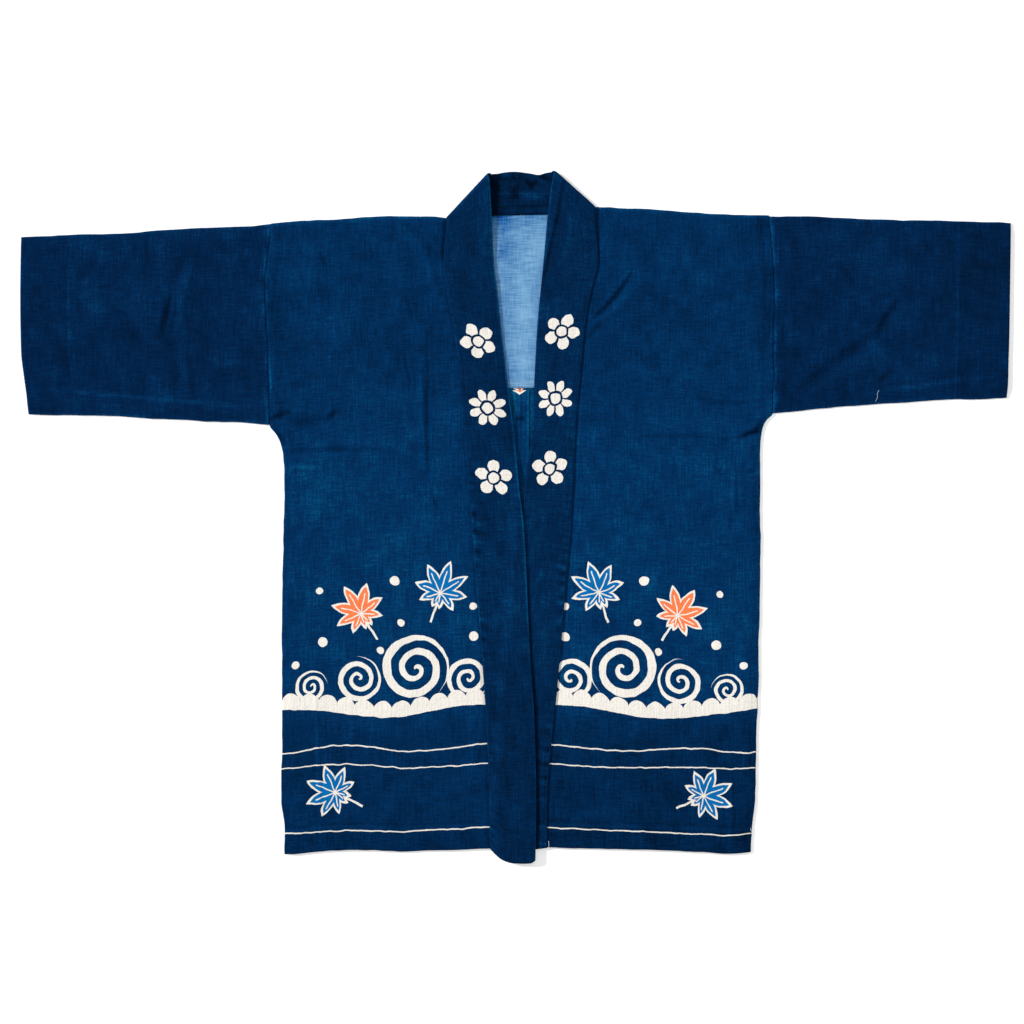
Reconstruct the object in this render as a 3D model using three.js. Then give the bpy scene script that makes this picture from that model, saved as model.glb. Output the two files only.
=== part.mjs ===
// A happi coat laid out flat, front upwards, with the right collar band over the left.
// Pattern frame: x = 0 on the centre-back line, y = 0 at the hem, z = 0 on the surface it lies on.
// +x is the wearer's left. The finished group is moved so that its origin is the middle of its footprint.
import * as THREE from 'three';

// Driving dimensions, in millimetres.
const cloth = 1.2; // wall of one layer of plain-woven cotton
const seamGap = 0.3; // left between two pieces that are sewn together
const layerRise = 1.4; // how much further apart the layers lie away from a closed edge
const edgeReach = 12; // over which they come together
const bandThickness = 3.6; // the collar band, a doubled cloth with its core
const bandBase = 2.9; // underside of a collar band on the front
const neckLift = 1.0; // extra height where a band passes over the back part of the collar
const overlapLift = bandThickness + seamGap; // right band over the left band
const rampLength = 11; // in which the right band climbs
const liningThickness = 1.1;
const liningHem = 580; // height of the lining's lower edge
const liningHalfWidth = 150;
const neckHalf = 92; // distance from the centre at which the back's neck edge ends
const collarSeamLow = 36; // distances from the centre at which the collar seam starts on the hem
const collarSeamHigh = 96; // and reaches the shoulder
const sideReach = 295; // distance from the centre at which the hem meets the side
const crossGap = 9.5; // the right band has climbed this far short of the left band's edge
const climbStart = 0.2; // and starts no nearer its own seam than this share of its width
const bandBendHeight = 100; // below this the bands' rows bend towards their lower ends
const neckStart = -44; // from the shoulder: above it a band's sections turn towards its diagonal fold

// Side of the body from hem to shoulder: distance from the centre on the right and left.
// The underarm is where it turns out to meet the sleeve.
const bodySide = [
  { y: -4, right: 295, left: 287.5 },
  { y: 26, right: 295.5, left: 289 },
  { y: 64, right: 299, left: 292.5 },
  { y: 126, right: 299, left: 294 },
  { y: 250, right: 299, left: 297.5 },
  { y: 376, right: 297, left: 299 },
  { y: 440, right: 296, left: 299 },
  { y: 495, right: 297.5, left: 299 },
  { y: 506, right: 300, left: 299.5 },
  { y: 519, right: 305, left: 301 },
  { y: 532, right: 314.5, left: 304 },
  { y: 540, right: 314.5, left: 309 },
  { y: 546, right: 314.5, left: 315.5 },
  { y: 620, right: 316, left: 316 },
  { y: 690, right: 320, left: 317 },
  { y: 800, right: 311, left: 310 },
];

// Height of the shoulder fold, by distance from the centre.
const shoulder = [
  { d: 92, right: 791, left: 805.5 },
  { d: 114, right: 794, left: 805 },
  { d: 155, right: 794, left: 803 },
  { d: 214, right: 791, left: 798.5 },
  { d: 280, right: 787.5, left: 795 },
  { d: 320, right: 783.5, left: 794 },
];

// Height of the hem, by distance from the centre.
const hem = [
  { d: 30, right: 3, left: 4.5 },
  { d: 99, right: 1, left: 2.5 },
  { d: 155, right: 0, left: 1 },
  { d: 214, right: 1, left: -1 },
  { d: 262, right: -2, left: -3 },
  { d: 295, right: -4, left: -1 },
];

// Collar bands up the fronts: each seam is a distance from the centre, each free edge a place in x.
const bandRows = [
  { y: 0, seamRight: 39, freeRight: 18, seamLeft: 33, freeLeft: -24 },
  { y: 50, seamRight: 39.5, freeRight: 19, seamLeft: 32.5, freeLeft: -24.5 },
  { y: 100, seamRight: 41, freeRight: 18.5, seamLeft: 35, freeLeft: -22 },
  { y: 170, seamRight: 44, freeRight: 16.5, seamLeft: 42, freeLeft: -16 },
  { y: 250, seamRight: 49.5, freeRight: 11, seamLeft: 49.5, freeLeft: -9.5 },
  { y: 330, seamRight: 56, freeRight: 7.5, seamLeft: 56, freeLeft: -3.5 },
  { y: 400, seamRight: 61, freeRight: 3.8, seamLeft: 62.5, freeLeft: 1 },
  { y: 460, seamRight: 66, freeRight: -3, seamLeft: 66, freeLeft: 5 },
  { y: 530, seamRight: 71.5, freeRight: -9.5, seamLeft: 69, freeLeft: 14 },
  { y: 600, seamRight: 77, freeRight: -18.5, seamLeft: 75, freeLeft: 17.2 },
  { y: 665, seamRight: 87, freeRight: -26, seamLeft: 81.5, freeLeft: 21 },
  { y: 700, seamRight: 93, freeRight: -29.5, seamLeft: 88, freeLeft: 24.5 },
  { y: 740, seamRight: 97, freeRight: -34.5, seamLeft: 97, freeLeft: 28.5 },
  { y: 806, seamRight: 94, freeRight: -41, seamLeft: 95, freeLeft: 39 },
];

// Lower ends of the bands, by place across the band from seam to free edge.
const bandEnds = [
  { u: 0, right: 2, left: 4 },
  { u: 0.25, right: -10, left: 2 },
  { u: 0.5, right: -16, left: 0 },
  { u: 0.88, right: -16, left: -1 },
  { u: 1, right: -12.5, left: -1 },
];

// Diagonal folds where the collar turns from the back of the neck on to the fronts.
const bandFolds = {
  right: { seam: new THREE.Vector2(-94, 791), free: new THREE.Vector2(-44, 841) },
  left: { seam: new THREE.Vector2(95, 805), free: new THREE.Vector2(46, 849) },
};

// Back of the neck, between the folds: seam and free edge of the collar.
const neckRows = [
  { seamX: -62, seamY: 791.7, freeX: -33, freeY: 845.3 },
  { seamX: -38, seamY: 794.2, freeX: -22, freeY: 848 },
  { seamX: -15, seamY: 795, freeX: -9, freeY: 849 },
  { seamX: 15, seamY: 796, freeX: 10, freeY: 849.3 },
  { seamX: 38, seamY: 796.8, freeX: 22, freeY: 849.3 },
  { seamX: 62, seamY: 799.2, freeX: 33, freeY: 849 },
];

// Top edge of the back pieces along the neck and just past it, by x.
const backNeck = [
  { x: -92, y: 787.6 },
  { x: -62, y: 791.3 },
  { x: -38, y: 793.8 },
  { x: 0, y: 795.1 },
  { x: 38, y: 796.4 },
  { x: 62, y: 798.8 },
  { x: 92, y: 801.6 },
];

// Top edge of the lining, by x. It stays below the shoulder fold and reaches the neck seam.
const liningTop = [
  { x: -150, y: 768 },
  { x: -98, y: 772 },
  { x: -87, y: 787 },
  { x: -38, y: 793 },
  { x: 0, y: 794.3 },
  { x: 38, y: 795.6 },
  { x: 87, y: 799.5 },
  { x: 98, y: 785 },
  { x: 150, y: 782 },
];

// Sleeves, by distance from the centre: lower edge and folded top.
const sleeveEdges = {
  right: [
    { d: 310, bottom: 532.5, top: 784.5 },
    { d: 339, bottom: 535, top: 781 },
    { d: 401, bottom: 537.5, top: 779 },
    { d: 464, bottom: 541, top: 775 },
    { d: 526, bottom: 544, top: 771.5 },
    { d: 589, bottom: 545, top: 769.5 },
    { d: 626, bottom: 546, top: 767.5 },
  ],
  left: [
    { d: 310, bottom: 546, top: 794 },
    { d: 349, bottom: 550, top: 794 },
    { d: 411, bottom: 556, top: 791 },
    { d: 474, bottom: 560, top: 789 },
    { d: 536, bottom: 564, top: 787.5 },
    { d: 599, bottom: 566, top: 786 },
    { d: 613, bottom: 567.5, top: 785 },
  ],
};

// Cuffs, from the lower edge (w = 0) to the folded top (w = 1).
const cuffs = [
  { w: 0, right: 616, left: 607.5 },
  { w: 0.1, right: 618, left: 609 },
  { w: 0.2, right: 621, left: 609.5 },
  { w: 0.36, right: 625, left: 610.5 },
  { w: 0.65, right: 626, left: 611.5 },
  { w: 1, right: 625, left: 612.5 },
];

// The largest folds: soft ridges from one point to another.
const folds = {
  right: [
    { x0: -118, y0: 655, x1: -114, y1: 450, width: 42, height: 1.6 },
    { x0: -300, y0: 542, x1: -190, y1: 575, width: 40, height: 1.5 },
    { x0: -145, y0: 785, x1: -100, y1: 735, width: 34, height: 1.2 },
    { x0: -230, y0: 300, x1: -215, y1: 40, width: 60, height: 1.1 },
    { x0: -480, y0: 740, x1: -430, y1: 600, width: 60, height: 1.5 },
  ],
  left: [
    { x0: 92, y0: 670, x1: 141, y1: 727, width: 36, height: 1.8 },
    { x0: 150, y0: 518, x1: 262, y1: 512, width: 44, height: 1.4 },
    { x0: 266, y0: 545, x1: 266, y1: 330, width: 50, height: 1.2 },
    { x0: 205, y0: 300, x1: 180, y1: 50, width: 60, height: 1.0 },
    { x0: 338, y0: 576, x1: 470, y1: 680, width: 54, height: 1.6 },
  ],
};

// Straight-line reading of a table: the value of one column at a place in another.
function read(table, key, at, column) {
  if (at <= table[0][key]) return table[0][column];
  for (let i = 1; i < table.length; i++) {
    const a = table[i - 1];
    const b = table[i];
    if (at <= b[key]) return THREE.MathUtils.mapLinear(at, a[key], b[key], a[column], b[column]);
  }
  return table[table.length - 1][column];
}

const lerp = THREE.MathUtils.lerp;
const ease = (t) => THREE.MathUtils.smoothstep(t, 0, 1);
const sign = { right: -1, left: 1 };

// Height that the folds add at a point of one side.
function foldHeight(side, x, y) {
  let height = 0;
  for (const fold of folds[side]) {
    const along = new THREE.Vector2(fold.x1 - fold.x0, fold.y1 - fold.y0);
    const length = along.length();
    along.divideScalar(length);
    const from = new THREE.Vector2(x - fold.x0, y - fold.y0);
    const s = from.dot(along) / length;
    const off = Math.abs(from.cross(along)) / (fold.width / 2);
    if (s > 0 && s < 1 && off < 1) {
      height += fold.height * Math.sin(Math.PI * s) * (0.5 + 0.5 * Math.cos(Math.PI * off));
    }
  }
  return height;
}

// A closed wall between two grids of points, rows first. A tube's columns run round and meet.
function wall(outer, inner, tube = false) {
  const rows = outer.length;
  const columns = outer[0].length;
  const points = [...outer.flat(), ...inner.flat()];
  const at = (layer, i, j) => layer * rows * columns + i * columns + (j % columns);
  const index = [];
  const quad = (a, b, c, d) => index.push(a, b, c, a, c, d);
  const spans = tube ? columns : columns - 1;
  for (let i = 0; i < rows - 1; i++) {
    for (let j = 0; j < spans; j++) {
      quad(at(0, i, j), at(0, i, j + 1), at(0, i + 1, j + 1), at(0, i + 1, j));
      quad(at(1, i, j), at(1, i + 1, j), at(1, i + 1, j + 1), at(1, i, j + 1));
    }
    if (!tube) {
      quad(at(0, i, 0), at(0, i + 1, 0), at(1, i + 1, 0), at(1, i, 0));
      quad(at(0, i, spans), at(1, i, spans), at(1, i + 1, spans), at(0, i + 1, spans));
    }
  }
  for (let j = 0; j < spans; j++) {
    quad(at(0, 0, j), at(1, 0, j), at(1, 0, j + 1), at(0, 0, j + 1));
    quad(at(0, rows - 1, j), at(0, rows - 1, j + 1), at(1, rows - 1, j + 1), at(1, rows - 1, j));
  }
  const volume = signedVolume(points, index);
  if (volume < 0) index.reverse();
  const geometry = new THREE.BufferGeometry().setFromPoints(points);
  geometry.setIndex(index);
  geometry.computeVertexNormals();
  return geometry;
}

function signedVolume(points, index) {
  let volume = 0;
  const normal = new THREE.Vector3();
  for (let i = 0; i < index.length; i += 3) {
    const [a, b, c] = [points[index[i]], points[index[i + 1]], points[index[i + 2]]];
    volume += normal.crossVectors(b, c).dot(a) / 6;
  }
  return volume;
}

const coat = new THREE.Group();

function addPiece(name, geometry, finish) {
  const mesh = new THREE.Mesh(geometry, finish);
  mesh.name = name;
  coat.add(mesh);
}

const bodyCotton = new THREE.MeshStandardMaterial({ color: '#032b54', roughness: 0.9, metalness: 0 });
const sleeveCotton = new THREE.MeshStandardMaterial({ color: '#03264c', roughness: 0.9, metalness: 0 });
const collarCotton = new THREE.MeshStandardMaterial({ color: '#04274d', roughness: 0.92, metalness: 0 });
const liningCotton = new THREE.MeshStandardMaterial({ color: '#6999c7', roughness: 0.88, metalness: 0 });

// Top edge of a back piece: the neck seam near the centre, then just inside the shoulder fold.
const foldRadius = cloth + seamGap / 2;
function backTop(side, x) {
  const d = Math.abs(x);
  if (d <= neckHalf) return read(backNeck, 'x', x, 'y');
  return read(shoulder, 'd', d, side) - foldRadius - seamGap;
}

// Rows of points up the side of a panel, closest together round the underarm. Front, back and
// sleeve share them, so that the two sides of the armhole seam have the same corners.
const lowRows = [40, 120, 200, 280, 360, 430];
const underarmRows = [-54, -38, -26, -13, -6, 0, 4, 14, 45, 90, 145, 190]; // from the underarm
const topRows = [neckStart, -12, -3.5, 0]; // from the shoulder
function sideRows(side) {
  const { bottom: underarm, top } = sleeveEdges[side][0];
  const hemY = read(hem, 'd', sideReach, side);
  const heights = [
    hemY,
    ...lowRows,
    ...underarmRows.map((y) => underarm + y),
    ...topRows.map((y) => top + y),
  ];
  return heights.map((y) => ({ y, v: (y - hemY) / (top - hemY), edgeX: read(bodySide, 'y', y, side) }));
}

// Height of a row at the collar seam. The bands have the same rows.
function seamHeight(side, v) {
  const low = read(hem, 'd', collarSeamLow, side);
  return lerp(low, read(shoulder, 'd', collarSeamHigh, side) - foldRadius, v);
}

// One half of the back, flat on the surface, from the centre-back seam to the side seam.
const backColumns = [seamGap / 2, 15, 38, 62, neckHalf, collarSeamHigh, 155, 214, 265]; // then the side
function makeBack(side) {
  const grid = (z) => sideRows(side).map(({ v, edgeX }) => [...backColumns, edgeX].map((d) => {
    const x = sign[side] * d;
    const y = lerp(read(hem, 'd', Math.abs(x), side), backTop(side, x), v);
    return new THREE.Vector3(x, y, z);
  }));
  return wall(grid(cloth), grid(0));
}

// One front, from the collar seam to the side, ending in the fold over the shoulder.
const frontColumns = [0, 0.09, 0.2, 0.32, 0.44, 0.56, 0.68, 0.79, 0.88, 0.95, 0.987, 1];
const foldTurns = [45, 0, -45, -90]; // degrees, from the top layer round to the back
function makeFront(side) {
  const outer = [];
  const inner = [];
  const seamColumn = side === 'right' ? 'seamRight' : 'seamLeft';
  const rows = sideRows(side);
  const place = (u, { v, edgeX }) => {
    const x = sign[side] * lerp(read(bandRows, 'y', seamHeight(side, v), seamColumn) + seamGap, edgeX, u);
    const hemY = read(hem, 'd', Math.abs(x), side);
    const topY = read(shoulder, 'd', Math.abs(x), side) - foldRadius;
    return { x, y: lerp(hemY, topY, v), topY, sideGap: edgeX - Math.abs(x) };
  };
  for (const spot of rows) {
    const row = frontColumns.map((u) => {
      const p = place(u, spot);
      const open = ease(Math.min(p.sideGap, p.topY - p.y) / edgeReach);
      const z = cloth + seamGap + open * (layerRise + foldHeight(side, p.x, p.y));
      return new THREE.Vector3(p.x, p.y, z);
    });
    inner.push(row);
    outer.push(row.map((p) => p.clone().setZ(p.z + cloth)));
  }
  for (const turn of foldTurns) {
    const angle = THREE.MathUtils.degToRad(turn);
    const ring = (radius) => frontColumns.map((u) => {
      const p = place(u, rows[rows.length - 1]);
      return new THREE.Vector3(p.x, p.topY + radius * Math.cos(angle), foldRadius + radius * Math.sin(angle));
    });
    outer.push(ring(foldRadius));
    inner.push(ring(seamGap / 2));
  }
  return wall(outer, inner);
}

// One sleeve: a rectangle folded at its top and seamed below, a flat tube from armhole to cuff.
const sleeveStations = [0, 0.012, 0.04, 0.13, 0.27, 0.42, 0.58, 0.74, 0.88, 1];
function makeSleeve(side) {
  const edges = sleeveEdges[side];
  const underarm = edges[0].bottom;
  const armTop = edges[0].top;
  const sleeveColumns = sideRows(side).map(({ y }) => (y - underarm) / (armTop - underarm)).filter(
    (w) => w > 0 && w < 1);
  // Round the section: lower edge, under layer, folded top, upper layer.
  const ringPlaces = [
    { w: 0, layer: 0.5 },
    ...[0, ...sleeveColumns, 1].map((w) => ({ w, layer: 0 })),
    { w: 1, layer: 0.5 },
    ...[1, ...[...sleeveColumns].reverse(), 0].map((w) => ({ w, layer: 1 })),
  ];
  const point = (p, place, insideWall) => {
    const seamX = read(bodySide, 'y', lerp(underarm, armTop, place.w), side) + seamGap;
    const d = lerp(seamX, read(cuffs, 'w', place.w, side), p);
    const bottom = read(edges, 'd', d, 'bottom');
    const top = read(edges, 'd', d, 'top');
    const corner = place.layer === 0.5 ? 0 : cloth / 2;
    const inset = insideWall ? cloth + corner / 4 : corner;
    const y = THREE.MathUtils.clamp(lerp(bottom, top, place.w), bottom + inset, top - inset);
    const gap = Math.min(y - bottom, top - y, d - seamX);
    const open = ease(gap / edgeReach);
    const height = 2 * foldRadius + open * (layerRise + foldHeight(side, sign[side] * d, y));
    const skin = insideWall ? cloth : 0;
    const z = place.layer === 0.5 ? foldRadius : lerp(skin, height - skin, place.layer);
    return new THREE.Vector3(sign[side] * d, y, z);
  };
  const grid = (insideWall) => sleeveStations.map(
    (p) => ringPlaces.map((place) => point(p, place, insideWall)));
  return wall(grid(false), grid(true), true);
}

// The collar: one long band, from the right hem up, round the back of the neck and down the left.
// A section is a seam point, a free point and the way the band's outer face looks.
const bandColumns = [0, 0.08, 0.2, 0.35, 0.5, 0.65, 0.8, 0.92, 0.97, 1];
const bandTurns = [60, 30, 0, -30, -60];
const turnRadius = bandThickness + seamGap / 2;

// Inwards direction at a diagonal fold, and its line moved in by the bulge of the turn.
function foldLine(side) {
  const { seam, free } = bandFolds[side];
  const along = free.clone().sub(seam).normalize();
  const inwards = new THREE.Vector2(along.y, -along.x).multiplyScalar(-sign[side]);
  return {
    inwards,
    seam: seam.clone().addScaledVector(inwards, turnRadius),
    free: free.clone().addScaledVector(inwards, turnRadius),
  };
}

function bandPoint(side, u, height) {
  const seam = sign[side] * read(bandRows, 'y', height, side === 'right' ? 'seamRight' : 'seamLeft');
  const free = read(bandRows, 'y', height, side === 'right' ? 'freeRight' : 'freeLeft');
  const x = lerp(seam, free, u);
  const low = THREE.MathUtils.clamp(1 - height / bandBendHeight, 0, 1);
  const y = height + low * read(bandEnds, 'u', u, side);
  let z = bandBase + bandThickness / 2;
  if (side === 'right') {
    const otherEdge = read(bandRows, 'y', height, 'freeLeft');
    const top = Math.max(otherEdge - crossGap, lerp(seam, free, climbStart));
    z += overlapLift * ease((x - top + rampLength) / rampLength);
  }
  return new THREE.Vector3(x, y, z);
}

function makeCollar() {
  const up = new THREE.Vector3(0, 0, 1);
  const down = new THREE.Vector3(0, 0, -1);
  const sections = [];
  const frontSections = (side) => {
    const rows = sideRows(side).slice(1, 1 - topRows.length).map(({ v }) => seamHeight(side, v));
    const start = rows[rows.length - 1];
    const made = [0, ...rows].map((height) => ({
      points: bandColumns.map((u) => bandPoint(side, u, height)),
      face: up,
    }));
    const line = foldLine(side);
    for (const k of [0.25, 0.5, 0.75, 1]) {
      made.push({
        face: up,
        points: bandColumns.map((u) => {
          const lastRow = bandPoint(side, u, start);
          const end = line.seam.clone().lerp(line.free, u);
          const lift = neckLift * Math.min(1, 2 * k);
          return new THREE.Vector3(lerp(lastRow.x, end.x, k), lerp(lastRow.y, end.y, k), lastRow.z + lift);
        }),
      });
    }
    return made;
  };
  const turnSections = (side) => {
    const line = foldLine(side);
    const radius = (bandThickness + seamGap) / 2;
    return bandTurns.map((turn) => {
      const angle = THREE.MathUtils.degToRad(turn);
      const face = new THREE.Vector3(
        -line.inwards.x * Math.cos(angle), -line.inwards.y * Math.cos(angle), Math.sin(angle));
      const points = bandColumns.map((u) => {
        const on = line.seam.clone().lerp(line.free, u);
        return new THREE.Vector3(on.x, on.y, turnRadius).addScaledVector(face, radius);
      });
      return { points, face };
    });
  };
  const flatNeck = (seam, free) => ({
    face: down,
    points: bandColumns.map((u) => new THREE.Vector3(
      lerp(seam.x, free.x, u), lerp(seam.y, free.y, u), bandThickness / 2)),
  });
  const rightLine = foldLine('right');
  const leftLine = foldLine('left');
  sections.push(...frontSections('right'), ...turnSections('right'));
  sections.push(flatNeck(rightLine.seam, rightLine.free));
  for (const row of neckRows) {
    sections.push(flatNeck({ x: row.seamX, y: row.seamY }, { x: row.freeX, y: row.freeY }));
  }
  sections.push(flatNeck(leftLine.seam, leftLine.free));
  sections.push(...turnSections('left').reverse(), ...frontSections('left').reverse());
  // The free edge is a fold, so the band thins out over its last columns.
  const half = (u) => (bandThickness / 2) * (u > 0.99 ? 0.5 : 1);
  const layer = (way) => sections.map(({ points, face }) => points.map(
    (p, j) => p.clone().addScaledVector(face, way * half(bandColumns[j]))));
  return wall(layer(1), layer(-1));
}

// The shoulder lining, on the inside of the back; its hem shows through the neck.
function makeLining() {
  const columns = liningTop.map((row) => row.x);
  const rows = [0, 0.34, 0.67, 1];
  const grid = (z) => rows.map((v) => columns.map((x) => {
    const reach = Math.sign(x) * Math.min(Math.abs(x), liningHalfWidth);
    return new THREE.Vector3(reach, lerp(liningHem, read(liningTop, 'x', x, 'y'), v), z);
  }));
  const base = cloth + seamGap;
  return wall(grid(base + liningThickness), grid(base));
}

for (const side of ['right', 'left']) {
  addPiece(`back_${side}`, makeBack(side), bodyCotton);
  addPiece(`front_${side}`, makeFront(side), bodyCotton);
  addPiece(`sleeve_${side}`, makeSleeve(side), sleeveCotton);
}
addPiece('collar', makeCollar(), collarCotton);
addPiece('shoulder_lining', makeLining(), liningCotton);

// Origin: the middle of the footprint, on the surface the coat lies on.
const size = new THREE.Box3().setFromObject(coat);
const middle = size.getCenter(new THREE.Vector3());
coat.position.set(-middle.x, -middle.y, -size.min.z);

export default coat;
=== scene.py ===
import math
from functools import partial
import bpy
import bmesh
import numpy as np
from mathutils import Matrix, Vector


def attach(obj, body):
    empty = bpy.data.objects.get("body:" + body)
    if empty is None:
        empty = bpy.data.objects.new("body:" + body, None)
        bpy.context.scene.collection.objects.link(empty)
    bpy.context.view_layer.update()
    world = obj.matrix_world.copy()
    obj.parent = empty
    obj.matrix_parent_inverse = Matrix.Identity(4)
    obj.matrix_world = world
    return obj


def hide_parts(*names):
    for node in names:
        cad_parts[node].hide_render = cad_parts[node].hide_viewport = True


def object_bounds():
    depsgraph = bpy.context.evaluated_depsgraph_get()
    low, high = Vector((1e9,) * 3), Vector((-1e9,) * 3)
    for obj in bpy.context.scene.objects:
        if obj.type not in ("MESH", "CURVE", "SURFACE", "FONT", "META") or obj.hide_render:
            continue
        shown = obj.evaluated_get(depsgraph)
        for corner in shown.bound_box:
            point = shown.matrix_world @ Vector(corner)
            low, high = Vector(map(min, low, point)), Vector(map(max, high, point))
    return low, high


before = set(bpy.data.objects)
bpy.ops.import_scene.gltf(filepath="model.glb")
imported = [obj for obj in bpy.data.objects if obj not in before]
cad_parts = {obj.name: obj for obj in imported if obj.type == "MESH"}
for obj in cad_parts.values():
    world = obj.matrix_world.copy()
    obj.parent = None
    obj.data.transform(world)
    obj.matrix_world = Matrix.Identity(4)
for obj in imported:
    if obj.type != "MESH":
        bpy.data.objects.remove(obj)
cadLow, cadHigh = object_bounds()
print("frame loaded")

# Pattern coordinates, in millimetres: x = 0 on the centre-back line, y = 0 at the hem, z = 0 under the
# coat, +x the wearer's left. These two reaches place the pattern in the frame.
layout = {"rightCuff": 626.0, "collarDrop": 16.0}
sides = {"right": -1, "left": 1}


def toFrame(x, y, z):
    return np.stack([
        x / 1000 + cadLow.x + layout["rightCuff"] / 1000,
        y / 1000 + cadLow.y + layout["collarDrop"] / 1000,
        z / 1000 + cadLow.z], axis=-1)


# Cloth and the layers it lies in, by the height of the middle of each layer.
cloth = {
    "thick": 0.8,
    "under": 0.47,     # back and underside of the sleeves
    "closed": 2.25,    # upper layer where it meets the lower one at a fold or seam
    "rise": 1.15,      # how much higher it lies away from that edge
    "reach": 13.0,     # over which it climbs
    "bulge": 1.35,     # outside radius of a fold
    "aboveBack": 1.5,  # lowest the upper layer may go
    "aboveLining": 2.85,
}

# The outline tables of the pattern. The first column is what the others are read by.
bodySide = {
    "y": [-4, 26, 64, 126, 250, 376, 440, 495, 506, 519, 532, 540, 546, 620, 690, 800],
    "right": [295, 295.5, 299, 299, 299, 297, 296, 297.5, 300, 305, 314, 314.5, 314.5, 316, 320, 311],
    "left": [287.5, 289, 292.5, 294, 297.5, 299, 299, 299, 299.5, 301, 304, 309, 315, 316, 317, 310]}
shoulder = {
    "d": [92, 114, 155, 214, 280, 320],
    "right": [791, 794, 794, 791, 787.5, 783.5],
    "left": [805.5, 805, 803, 798.5, 795, 794]}
hem = {
    "d": [30, 99, 155, 214, 262, 295],
    "right": [3, 1, 0, 1, -2, -4],
    "left": [4.5, 2.5, 1, -1, -3, -1]}
bandEdges = {
    "y": [0, 50, 100, 170, 250, 330, 400, 460, 530, 600, 665, 700, 740, 806],
    "rightSeam": [39, 39.5, 41, 44, 49.5, 56, 61, 66, 71.5, 77, 87, 93, 97, 94],
    "rightFree": [18, 19, 18.5, 16.5, 11, 7.5, 3.8, -3, -9.5, -18.5, -26, -29.5, -34.5, -41],
    "leftSeam": [33, 32.5, 35, 42, 49.5, 56, 62.5, 66, 69, 75, 81.5, 88, 97, 95],
    "leftFree": [-24, -24.5, -22, -16, -9.5, -3.5, 1, 5, 14, 17.2, 21, 24.5, 28.5, 39]}
bandEnds = {
    "u": [0, 0.12, 0.28, 0.5, 0.75, 0.9, 1],
    "right": [3, -4, -11, -15, -15.5, -15, -11.5],
    "left": [4, 3, 2, 0, -1, -1, -1]}
backNeck = {
    "x": [-92, -62, -38, 0, 38, 62, 92],
    "y": [787.6, 791.3, 793.8, 795.1, 796.4, 798.8, 801.6]}
sleeveEdges = {
    "right": {
        "d": [310, 339, 401, 464, 526, 589, 626],
        "bottom": [532.5, 535, 537.5, 541, 544, 545, 546],
        "top": [784.5, 781, 779, 775, 771.5, 769.5, 767.5]},
    "left": {
        "d": [310, 349, 411, 474, 536, 599, 613],
        "bottom": [546, 550, 556, 560, 564, 566, 567.5],
        "top": [794, 794, 791, 789, 787.5, 786, 785]}}
cuffs = {
    "w": [0, 0.1, 0.2, 0.36, 0.65, 1],
    "right": [616, 618, 621, 625, 626, 625],
    "left": [607.5, 609, 609.5, 610.5, 611.5, 612.5]}


# A smooth curve through a table's column that never swings past its points.
def readCurve(table, column, at):
    xs = np.array(next(iter(table.values())), float)
    ys = np.array(table[column], float)
    step = np.diff(xs)
    rise = np.diff(ys) / step
    slope = np.zeros(len(xs))
    same = rise[:-1] * rise[1:] > 0
    slope[1:-1][same] = 2 * rise[:-1][same] * rise[1:][same] / (rise[:-1][same] + rise[1:][same])
    slope[0], slope[-1] = rise[0], rise[-1]
    at = np.clip(at, xs[0], xs[-1])
    i = np.clip(np.searchsorted(xs, at) - 1, 0, len(step) - 1)
    t = (at - xs[i]) / step[i]
    h = step[i]
    return ((1 + 2 * t) * (1 - t) ** 2 * ys[i] + t * (1 - t) ** 2 * h * slope[i]
            + t ** 2 * (3 - 2 * t) * ys[i + 1] + t ** 2 * (t - 1) * h * slope[i + 1])


def lerp(a, b, t):
    return a + (b - a) * t


def ease(t):
    t = np.clip(t, 0, 1)
    return t * t * (3 - 2 * t)


# A rise and fall round 0, which is nearly over at -2 and 2.
def bell(t):
    return np.exp(-t ** 2)


# Smooth random waves from -1 to 1, the same each run. grainX and grainY are their sizes in millimetres.
def softNoise(x, y, grainX, grainY, seed):
    gx, gy = x / grainX + seed * 3.7, y / grainY + seed * 1.9
    ix, iy = np.floor(gx), np.floor(gy)
    fx, fy = ease(gx - ix), ease(gy - iy)

    def corner(i, j):
        n = np.sin(i * 127.1 + j * 311.7 + seed * 74.7) * 43758.5453
        return (n - np.floor(n)) * 2 - 1

    low = lerp(corner(ix, iy), corner(ix + 1, iy), fx)
    high = lerp(corner(ix, iy + 1), corner(ix + 1, iy + 1), fx)
    return lerp(low, high, fy)


def oneWayNoise(t, grain, seed):
    return softNoise(t, t * 0, grain, 1, seed)


# An outline of the cloth: its table, a little uneven as a sewn edge is.
def outline(table, column, at):
    seed = len(column) + table[column][0]
    uneven = 0.7 * oneWayNoise(at, 34, seed) + 0.35 * oneWayNoise(at, 11, seed + 1)
    return readCurve(table, column, at) + uneven


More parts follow.
